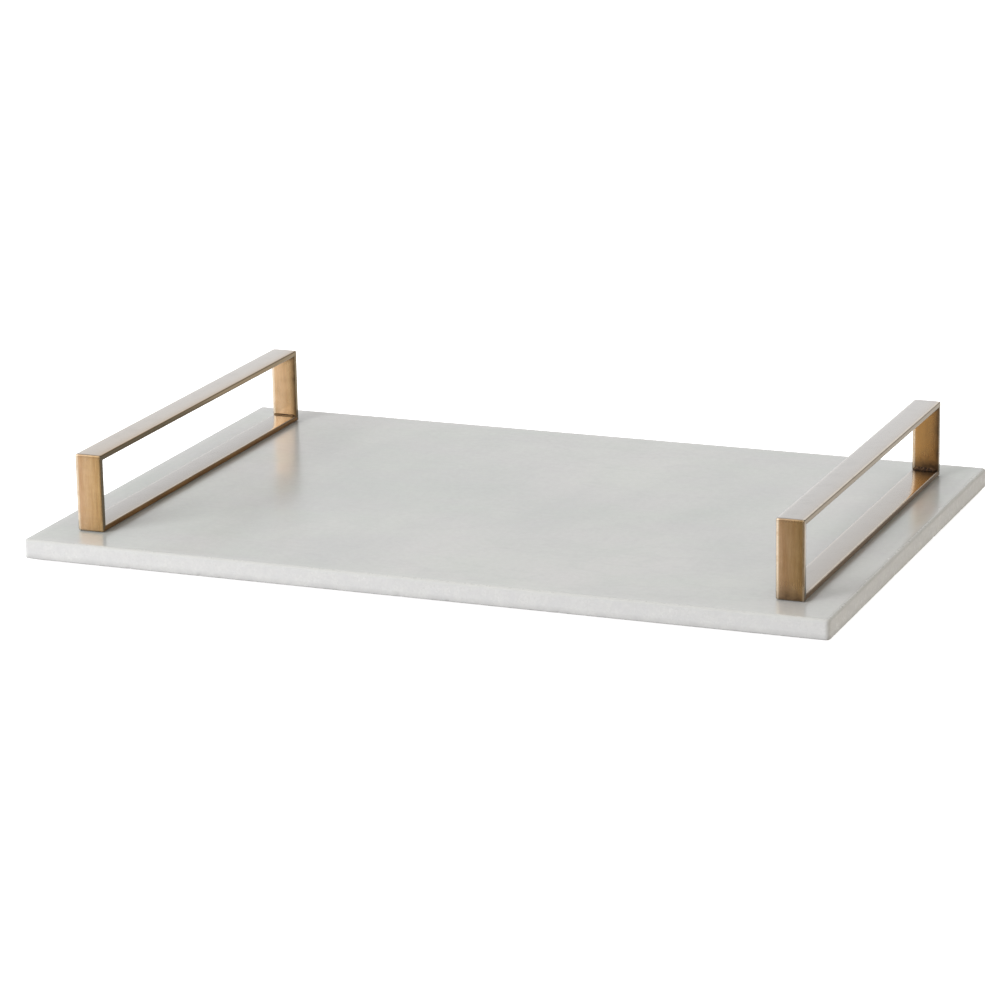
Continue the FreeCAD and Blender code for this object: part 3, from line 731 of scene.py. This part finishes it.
def bar_section(width, wear, is_post):
    """Outline of the bar, with a slight crown: (across, depth below the outer face, wear and painted
    highlight, is a side).
    """
    half, thickness = width / 2, BAR_THICKNESS
    left = LEFT_ARRIS + wear
    right = (CRISP_ARRIS if is_post else RIGHT_ARRIS) + wear
    left_deep = ARRIS_DEPTH + wear
    right_deep = (CRISP_ARRIS if is_post else ARRIS_DEPTH) + wear
    arc_steps, face_steps, side_steps = 6, 14, 4
    points = []

    def add(x, depth, wear_and_highlight, side):
        outer = depth < thickness / 2
        crown = OUTER_CROWN * abs(x / half) ** 3 if outer else INNER_CROWN * (x / half) ** 2
        crown *= 1 - 2 * depth / thickness
        points.append((x, depth + crown, wear_and_highlight, side))

    def arc(x, depth, wide, deep, start):
        for step in range(arc_steps + 1):
            angle = start + math.pi / 2 * step / arc_steps
            add(x + wide * math.cos(angle), depth - deep * math.sin(angle), math.sin(angle) ** 2,
                abs(math.cos(angle)) ** 3)

    def face(depth, start, stop):
        for step in range(1, face_steps):
            x = start + (stop - start) * step / face_steps
            gap = min(abs(x - start), abs(x - stop))
            add(x, depth, math.exp(-(gap / WEAR_AND_HIGHLIGHT_REACH) ** 2), 0.0)

    def narrow_side(x, start, stop):
        for step in range(1, side_steps):
            add(x, start + (stop - start) * step / side_steps, 0.0, 1.0)

    arc(half - right, right_deep, right, right_deep, 0.0)
    face(0.0, half - right, -half + left)
    arc(-half + left, left_deep, left, left_deep, math.pi / 2)
    narrow_side(-half, left_deep, thickness - left_deep)
    arc(-half + left, thickness - left_deep, left, left_deep, math.pi)
    face(thickness, -half + left, half - right)
    arc(half - right, thickness - right_deep, right, right_deep, 1.5 * math.pi)
    narrow_side(half, thickness - right_deep, right_deep)
    return points


def outer_point(share, length):
    """Point of the loop's outer face at a share of the bar's length, with the rounded corner at its ends."""
    flat = length / 2 - CORNER_ROUND
    reach = abs(share) * (flat + CORNER_ROUND * math.pi / 4)
    if reach <= flat:
        return math.copysign(reach, share), 0.0
    angle = (reach - flat) / CORNER_ROUND
    return math.copysign(flat + CORNER_ROUND * math.sin(angle), share), CORNER_ROUND * (1 - math.cos(angle))


def darkening_level(side, inside, height):
    """How dark a bar's inner or outer face is at its very end."""
    if height > LOOP_MIDDLE:
        return UPPER_DARKENING if inside > 0.5 else OUTER_CORNER_SHADE
    return LOWER_DARKENING[side] if inside > 0.5 else OUTER_DARKENING[side]


def darkening_reach(side, inside, height):
    """How far from a bar's end its darkening spreads."""
    if height > LOOP_MIDDLE:
        return UPPER_REACH if inside > 0.5 else OUTER_CORNER_REACH
    return LOWER_REACH[side]


def wear_and_highlight_level(name, x):
    """How bright an arris is with wear and painted highlight: the posts' -X ones fully, the +X ones by the
    bar's own level.
    """
    if x < 0:
        return 1.0 if name.endswith("post") else FAR_ARRIS
    return ARRIS_WEAR_AND_HIGHLIGHT[name]


def side_level(name, x):
    """How dark a narrow side is, with patina and painted shade: the horizontal bars' both, the posts' +X ones
    unless lit by wear and painted highlight.
    """
    if not name.endswith("post"):
        return 1.0
    return 1 - ARRIS_WEAR_AND_HIGHLIGHT[name] if x > 0 else 0.0


def warmth(name, station):
    """Warm tint of the lacquer, stronger toward the front end of some bars."""
    from_front = station.y - CAD_BOX[0][1]
    return WARMTH.get(name, 0.0) + FRONT_WARMTH.get(name, 0.0) * math.exp(-from_front / WARMTH_REACH)


def darkening_at(side, name, inside, height, to_end, to_edge):
    """Darkening at a point of a bar: by its ends, its +X edge and, on a post, its foot, where it is a painted
    contact shadow.
    """
    reach = darkening_reach(side, inside, height)
    stain_and_shade = darkening_level(side, inside, height) * math.exp(-(to_end / reach) ** 2)
    if name.endswith("rear_post"):
        stain_and_shade = max(stain_and_shade, EDGE_DARKENING * math.exp(-(to_edge / EDGE_REACH) ** 2))
    if name.endswith("post") and inside < 0.5 and height < LOOP_MIDDLE:
        stain_and_shade = max(stain_and_shade, FOOT_CONTACT_SHADOW * math.exp(-(to_end / FOOT_CONTACT_SHADOW_REACH) ** 2))
    return stain_and_shade


def bar_layers(side, name, station, x, width, inside, to_end, wear_and_highlight, narrow):
    """What a vertex of a bar carries for the material."""
    stain_and_shade = darkening_at(side, name, inside, station.z, to_end, width / 2 - x)
    end_wear_and_highlight = END_WEAR_AND_HIGHLIGHT * math.exp(-(to_end / WEAR_AND_HIGHLIGHT_REACH) ** 2) if inside < 0.3 else 0.0
    return {
        "arris": max(wear_and_highlight * wear_and_highlight_level(name, x), end_wear_and_highlight) * (1 - 0.5 * stain_and_shade),
        "corner": stain_and_shade,
        "side": side_level(name, x) * narrow,
        "rim": RIM.get(name, FAINT_RIM) * math.exp(-(width / 2 - x) / RIM_REACH),
        "dull": DULLED.get(name, 0.0),
        "warm": warmth(name, station),
        "golden": GOLDEN_REFLECTION.get(name, 0.0),
        "pale": PALE_REFLECTION.get(name, 0.0) * (0.5 - 0.8 * x / width),
    }


def make_bar(side, bar, centre, along, outward, length, material, seed):
    """One mitred length of flat bar; centre is the middle of its outer face."""
    name = f"{side}_{bar}"
    node = f"{side}_handle_{bar}"
    low, high = node_box(node)
    width = high.x - low.x
    across = Vector((1, 0, 0))
    bm = bmesh.new()
    layers = {key: bm.verts.layers.float.new(key) for key in BAR_LAYERS}
    brush_layer = bm.verts.layers.float_vector.new("brush")
    rows = []
    for share in bar_stations(length):
        to_end = (1 - abs(share)) * length / 2
        window = smooth_step(to_end, 0.0, 4 * MM)
        station = centre + along * (share * length / 2)
        wear = ARRIS_WEAR * window * rough(station, 16 * MM, seed)
        outer_along, outer_depth = outer_point(share, length)
        inner_along = share * (length / 2 - BAR_THICKNESS)
        row = []
        for x, depth, wear_and_highlight, narrow in bar_section(width, wear, bar.endswith("post")):
            inside = depth / BAR_THICKNESS
            place_along = outer_along + (inner_along - outer_along) * inside
            place_depth = outer_depth + (BAR_THICKNESS - outer_depth) * inside
            mark = HAMMER_MARK * window * rough(station + across * x, 12 * MM, seed + 5)
            below = outward * (place_depth + mark * (1 - 2 * inside))
            vertex = bm.verts.new(centre + along * place_along - below + across * x)
            marks_and_painted_light = bar_layers(side, name, station, x, width, inside, to_end, wear_and_highlight, narrow)
            for key, value in marks_and_painted_light.items():
                vertex[layers[key]] = value
            vertex[brush_layer] = Vector((x, place_along, 0.02 * inside + seed * 0.01))
            row.append(vertex)
        rows.append(row)
    add_grid(bm, rows, close_rows=True)
    bm.faces.new(rows[0])
    bm.faces.new(rows[-1])
    piece = shown_piece(f"brass_{side}_{bar}", [node], material, bm)
    keep_crisp(piece, 40)


def make_handle(side, brass, braze, seed):
    """One loop: its four bars between the outer faces of the loop, and its four beads."""
    low = Vector(node_box(f"{side}_handle_base_bar")[0])
    high = Vector(node_box(f"{side}_handle_top_bar")[1])
    low.y = node_box(f"{side}_handle_front_post")[0].y
    high.y = node_box(f"{side}_handle_rear_post")[1].y
    middle = (low + high) / 2
    up, back = Vector((0, 0, 1)), Vector((0, 1, 0))
    length, height = high.y - low.y, high.z - low.z
    bars = {
        "top_bar": (Vector((middle.x, middle.y, high.z)), back, up, length),
        "base_bar": (Vector((middle.x, middle.y, low.z)), back, -up, length),
        "front_post": (Vector((middle.x, low.y, middle.z)), up, -back, height),
        "rear_post": (Vector((middle.x, high.y, middle.z)), up, back, height),
    }
    for index, (bar, (centre, along, outward, bar_length)) in enumerate(bars.items()):
        make_bar(side, bar, centre, along, outward, bar_length, brass, seed + index)
    for end in ENDS:
        for level in ("lower", "upper"):
            make_bead(side, end, level, braze, seed)


# Braze beads: how far one spreads from the corner, and how bare its thin edges are.
BEAD_ARC_STEPS = 7
BEAD_SPACING = 0.45 * MM
BEAD_SPREAD = {"left": 0.62, "right": 0.95}
BARE_EDGE = {"left": 0.9, "right": 0.3}


def make_bead(side, end, level, material, seed):
    """Lumpy bead of braze along an inner corner, thin and rounded at both ends."""
    node = f"{side}_handle_{end}_{level}_braze"
    low, high = node_box(node)
    inward_y = 1 if end == "front" else -1
    inward_z = 1 if level == "lower" else -1
    corner = Vector((0, low.y if inward_y > 0 else high.y, low.z if inward_z > 0 else high.z))
    leg = high.y - low.y
    count = round((high.x - low.x) / BEAD_SPACING)
    bm = bmesh.new()
    seam = bm.verts.layers.float.new("seam")
    rows = []
    for k in range(count + 1):
        x = low.x + (high.x - low.x) * k / count
        to_end = min(k, count - k) * BEAD_SPACING
        swell = BEAD_SPREAD[side] * (0.35 + 0.65 * smooth_step(to_end, -0.3 * MM, 1.4 * MM))
        leg_y = leg * swell * (0.85 + 0.4 * rough((x, seed, 0), 2.6 * MM, 1.0 + inward_y))
        leg_z = leg * swell * (0.85 + 0.4 * rough((x, seed, 1), 2.2 * MM, 4.0 + inward_z))
        row = [bm.verts.new(corner + Vector((x, 0, 0)))]
        row[0][seam] = 1.0
        for step in range(BEAD_ARC_STEPS + 1):
            angle = math.pi / 2 * step / BEAD_ARC_STEPS
            hollow = 1 - 0.38 * math.sin(2 * angle)
            y = inward_y * leg_y * math.cos(angle) * hollow
            z = inward_z * leg_z * math.sin(angle) * hollow
            vertex = bm.verts.new(corner + Vector((x, y, z)))
            vertex[seam] = 1 - BARE_EDGE[side] * (2 * step / BEAD_ARC_STEPS - 1) ** 2
            row.append(vertex)
        rows.append(row)
    add_grid(bm, rows, close_rows=True)
    bm.faces.new(rows[0])
    bm.faces.new(rows[-1])
    piece = shown_piece(f"braze_bead_{side}_{end}_{level}", [node], material, bm)
    keep_crisp(piece, 55)


# ---- turned and round pieces ----


def lathe(bm, centre, outline, count=64):
    """Turn an outline of (radius, height) about an upright line; a radius of 0 closes it at the axis."""
    rows = []
    for radius, z in outline:
        if radius < 1e-9:
            rows.append([bm.verts.new((centre.x, centre.y, z))])
        else:
            rows.append(circle(bm, centre, radius, z, count))
    for row, following in zip(rows, rows[1:]):
        if len(row) == 1 or len(following) == 1:
            tip, rim = (row[0], following) if len(row) == 1 else (following[0], row)
            for k in range(count):
                bm.faces.new((tip, rim[k], rim[(k + 1) % count]))
        else:
            add_grid(bm, [row, following], close_rows=True)
    return rows


def rounded_box_outline(inner, outer, low, high, edge, steps=4):
    """Section of a ring with rounded outer edges, from the bore's lower edge round to its upper one."""
    turn = quarter_turn(steps)
    lower = [(outer - edge + edge * sine, low + edge - edge * cosine) for sine, cosine in turn]
    upper = [(outer - edge + edge * cosine, high - edge + edge * sine) for sine, cosine in turn]
    return [(inner, low)] + lower + upper + [(inner, high)]


def make_ring(name, node, material, bore, edge):
    """A washer or boss: a bored ring with rounded outer edges."""
    low, high = node_box(node)
    centre = (low + high) / 2
    outer = (high.x - low.x) / 2
    outline = rounded_box_outline(bore, outer, low.z, high.z, edge)
    bm = bmesh.new()
    lathe(bm, centre, outline + outline[:1])
    bmesh.ops.remove_doubles(bm, verts=bm.verts, dist=1e-7)
    piece = shown_piece(name, [node], material, bm)
    keep_crisp(piece, 35)


SCREW_HEAD_HEIGHT = 2.4 * MM
SCREW_HEAD_SIDE = 0.9 * MM
SCREW_CREST = 1.975 * MM
SCREW_ROOT = 1.62 * MM
SCREW_PITCH = 0.7 * MM
HEAD_CHAMFER = 0.1 * MM
DOME_STEPS = 14
THREAD_STEPS = 78
RECESS_SPAN = 2.15 * MM
RECESS_WIDTH = 0.55 * MM
RECESS_DEPTH = 1.5 * MM


def screw_rows(head, head_bottom, tip):
    """Outline of the screw from the middle of its head's face up to its tip: (radius, height, is thread)."""
    bearing = head_bottom + SCREW_HEAD_HEIGHT
    rows = [(0.0, head_bottom, False)]
    dome = SCREW_HEAD_HEIGHT - SCREW_HEAD_SIDE
    for step in range(1, DOME_STEPS + 1):
        share = step / DOME_STEPS
        radius = head * math.sin(math.pi / 2 * share)
        rows.append((radius, head_bottom + dome * (1 - math.cos(math.pi / 2 * share) ** 0.8), False))
    rows.append((head, bearing - HEAD_CHAMFER, False))
    rows.append((head - HEAD_CHAMFER, bearing, False))
    rows.append((SCREW_CREST, bearing, False))
    for step in range(1, THREAD_STEPS + 1):
        rows.append((SCREW_CREST, bearing + (tip - bearing) * step / THREAD_STEPS, True))
    rows.append((0.0, tip, False))
    return rows


def make_screw(side, end, material):
    """Pan head screw, head down, with a helical thread and a tapered cross recess."""
    node = f"{side}_{end}_screw"
    low, high = node_box(node)
    centre = (low + high) / 2
    bm = bmesh.new()
    rows = screw_rows((high.x - low.x) / 2, low.z, high.z)
    made = lathe(bm, centre, [(radius, z) for radius, z, _ in rows], count=48)
    bearing = low.z + SCREW_HEAD_HEIGHT
    for (radius, z, is_thread), row in zip(rows, made):
        if not is_thread:
            continue
        fade = smooth_step(z - bearing, 0.2 * MM, 0.9 * MM)
        taper = 0.35 * MM * smooth_step(z, high.z - 0.7 * MM, high.z)
        for k, vertex in enumerate(row):
            turn = (z / SCREW_PITCH - k / len(row)) % 1
            groove = (SCREW_CREST - SCREW_ROOT) * (1 - abs(2 * turn - 1)) * fade
            share = (radius - groove - taper) / radius
            vertex.co.x = centre.x + (vertex.co.x - centre.x) * share
            vertex.co.y = centre.y + (vertex.co.y - centre.y) * share
    piece = shown_piece(f"steel_screw_{side}_{end}", [node], material, bm)
    cut_recess(piece, Vector((centre.x, centre.y, low.z)))
    keep_crisp(piece, 32)


def cut_recess(piece, centre):
    """Cut a tapered cross into the head's face with a boolean, and keep the result as the piece's mesh."""
    bm = bmesh.new()
    for turned in (False, True):
        corners = []
        for z, taper in ((-0.2 * MM, 1.0), (RECESS_DEPTH, 0.45)):
            for sx, sy in ((-1, -1), (1, -1), (1, 1), (-1, 1)):
                reach, width = sx * RECESS_SPAN * taper, sy * RECESS_WIDTH * (0.4 + 0.6 * taper)
                x, y = (width, reach) if turned else (reach, width)
                corners.append(bm.verts.new(centre + Vector((x, y, z))))
        for face in ((0, 1, 2, 3), (4, 5, 6, 7), (0, 1, 5, 4), (1, 2, 6, 5), (2, 3, 7, 6), (3, 0, 4, 7)):
            bm.faces.new([corners[i] for i in face])
    bmesh.ops.recalc_face_normals(bm, faces=bm.faces)
    cutter = mesh_object("recess_cutter", bm)
    modifier = piece.modifiers.new("recess", "BOOLEAN")
    modifier.operation = "DIFFERENCE"
    modifier.solver = "EXACT"
    modifier.use_self = True
    modifier.object = cutter
    bpy.context.view_layer.update()
    graph = bpy.context.evaluated_depsgraph_get()
    cut_mesh = bpy.data.meshes.new_from_object(piece.evaluated_get(graph))
    piece.modifiers.clear()
    piece.data = cut_mesh
    bpy.data.objects.remove(cutter)


FOOT_ROUND = 0.6 * MM
FOOT_DIMPLE = 0.25 * MM


def make_foot(side, end, material):
    """Moulded rubber foot: slightly tapered, its lower edge rounded, a shallow dimple in its face."""
    node = f"{side}_{end}_foot"
    low, high = node_box(node)
    centre = (low + high) / 2
    radius = (high.x - low.x) / 2
    outline = [(0.0, low.z + FOOT_DIMPLE), (radius * 0.30, low.z + FOOT_DIMPLE),
               (radius * 0.38, low.z + FOOT_DIMPLE * 0.5), (radius * 0.46, low.z)]
    for sine, cosine in quarter_turn(6):
        outline.append((radius - FOOT_ROUND * 1.4 + FOOT_ROUND * sine, low.z + FOOT_ROUND * (1 - cosine)))
    outline += [(radius - 0.12 * MM, high.z - 0.25 * MM), (radius, high.z), (0.0, high.z)]
    bm = bmesh.new()
    lathe(bm, centre, outline)
    piece = shown_piece(f"rubber_foot_{side}_{end}", [node], material, bm)
    keep_crisp(piece, 40)


WASHER_BORE = 2.15 * MM
STEEL_EDGE = 0.15 * MM
FIBRE_EDGE = 0.08 * MM
BOSS_BORE = 2.05 * MM
BOSS_EDGE = 0.4 * MM


def make_fastenings(side, end, steel, fibre, brass):
    """The boss under one end of a base bar, with the two washers and the screw that hold it."""
    place = f"{side}_{end}"
    make_ring(f"steel_washer_{place}", f"{place}_steel_washer", steel,
              WASHER_BORE, STEEL_EDGE)
    make_ring(f"fibre_washer_{place}", f"{place}_fibre_washer", fibre,
              WASHER_BORE, FIBRE_EDGE)
    make_ring(f"brass_boss_{place}", f"{place}_boss", brass, BOSS_BORE, BOSS_EDGE)
    make_screw(side, end, steel)


# ---- stage: floor, light and camera ----

CAMERA_AZIMUTH = 22.03
CAMERA_ELEVATION = 15.79
CAMERA_ROLL = -1.02
CAMERA_PLACE = (0.7721, -1.9330, 0.6036)
CAMERA_LENS = 139.66
SENSOR = 36.0
FLOOR_HALF = 7.0


def make_floor():
    """Pale, even floor that the pieces neither mirror nor are lit by: the world stands for it there."""
    bm = bmesh.new()
    corners = ((-1, -1), (1, -1), (1, 1), (-1, 1))
    bm.faces.new([bm.verts.new((x * FLOOR_HALF, y * FLOOR_HALF, 0.0)) for x, y in corners])
    floor = mesh_object("floor", bm)
    shader = new_material("studio_floor")
    speckle = shader.noise(shader.place(), 30.0, 3.0)
    colour = shader.blend(speckle, grey(0.90), grey(0.92))
    floor.data.materials.append(shader.finish({
        "Base Color": colour, "Roughness": 0.9, "Specular IOR Level": 0.0,
        "Emission Color": grey(1.0), "Emission Strength": 0.8,
    }))
    floor.visible_glossy = False
    floor.visible_diffuse = False


WHITE_LIGHT = (1.0, 1.0, 1.0)
WARM_LIGHT = (1.0, 0.95, 0.86)
BRIGHT_SIDE = (-0.934, 0.358, 0.0)
DIM_SIDE_LEVEL = 0.22


def make_world():
    """Soft studio surroundings: white behind and to the left, dim to the right and in front of the tray."""
    shader = Shader(bpy.data.worlds.new("studio"), "ShaderNodeOutputWorld")
    bpy.context.scene.world = shader.owner
    way = shader.node("ShaderNodeTexCoord", {}).outputs["Generated"]
    toward = shader.node("ShaderNodeVectorMath", {0: way, 1: BRIGHT_SIDE}, operation="DOT_PRODUCT")
    toward = toward.outputs["Value"]
    axes = shader.node("ShaderNodeSeparateXYZ", {"Vector": way}).outputs
    behind = shader.remap(axes["Y"], -0.1, 0.1)
    level = shader.remap(toward, shader.mix(behind, -0.06, -0.02), shader.mix(behind, 0.05, 0.20),
                         DIM_SIDE_LEVEL, 1.0)

    floor_behind = shader.times(behind, shader.remap(axes["Z"], -0.05, -0.15))
    level = shader.math("MAXIMUM", level, floor_behind)
    soft_light = shader.remap(axes["Z"], -0.2, 0.0, 0.35, 1.0)
    mirrored = shader.remap(axes["Z"], 0.245, 0.285, 1.08, 0.82)
    panel = shader.times(shader.remap(axes["Y"], -0.3, -0.7), shader.remap(axes["Z"], 0.02, 0.20))
    mirrored = shader.math("ADD", mirrored, shader.times(panel, 1.4))
    is_soft = shader.node("ShaderNodeLightPath", {}).outputs["Is Diffuse Ray"]
    level = shader.times(level, shader.mix(is_soft, mirrored, soft_light))
    hue = shader.blend(shader.remap(toward, -0.05, 0.10), (*WARM_LIGHT, 1.0), grey(1.0))
    background = shader.node("ShaderNodeBackground", {"Color": hue, "Strength": level})
    shader.show(background.outputs["Background"])


def add_softbox(name, place, aim, size, watts, colour):
    """A rectangular lamp that lights the tray but isn't mirrored in it."""
    light = bpy.data.lights.new(name, "AREA")
    light.shape = "RECTANGLE"
    light.size, light.size_y = size
    light.energy = watts
    light.color = colour
    lamp = add_object(name, light)
    lamp.location = place
    lamp.visible_glossy = False
    direction = Vector(aim) - Vector(place)
    lamp.rotation_euler = direction.to_track_quat("-Z", "Y").to_euler()


def make_lights():
    """A key light from the front left, a weak one overhead and a warm fill from the right."""
    add_softbox("key", (-1.3, -2.0, 0.85), (-0.1, 0.0, 0.0), (1.2, 1.0), 57.0, WHITE_LIGHT)
    add_softbox("overhead", (0.0, 0.3, 2.2), (0.0, 0.0, 0.0), (2.0, 1.6), 9.0, WHITE_LIGHT)
    add_softbox("fill", (2.4, -0.1, 0.5), (0.0, 0.0, 0.0), (1.2, 1.0), 23.0, WARM_LIGHT)


def make_camera():
    """Long lens, a little above the tray and turned to its front right."""
    camera_data = bpy.data.cameras.new("camera")
    camera_data.sensor_width = SENSOR
    camera_data.sensor_height = SENSOR
    camera_data.lens = CAMERA_LENS
    camera_data.clip_end = 60.0
    camera = add_object("camera", camera_data)
    azimuth, elevation = math.radians(CAMERA_AZIMUTH), math.radians(CAMERA_ELEVATION)
    turn = Matrix.Rotation(azimuth, 4, "Z") @ Matrix.Rotation(math.pi / 2 - elevation, 4, "X")
    roll = Matrix.Rotation(math.radians(CAMERA_ROLL), 4, "Z")
    camera.matrix_world = Matrix.Translation(CAMERA_PLACE) @ turn @ roll
    bpy.context.scene.camera = camera


# ---- the whole scene ----


def main():
    """Stage first, then every piece in its place."""
    make_camera()
    make_floor()
    make_world()
    make_lights()
    bpy.context.scene.view_settings.view_transform = "Standard"

    brass, braze = antique_brass_material(), braze_material()
    steel, fibre = plated_steel_material(), fibre_material()
    boss_brass, rubber = turned_brass_material(), rubber_material()
    make_slab(marble_material())
    for index, side in enumerate(SIDES):
        make_handle(side, brass, braze, seed=10.0 * (index + 1))
        for end in ENDS:
            make_fastenings(side, end, steel, fibre, boss_brass)
            make_foot(side, end, rubber)


main()
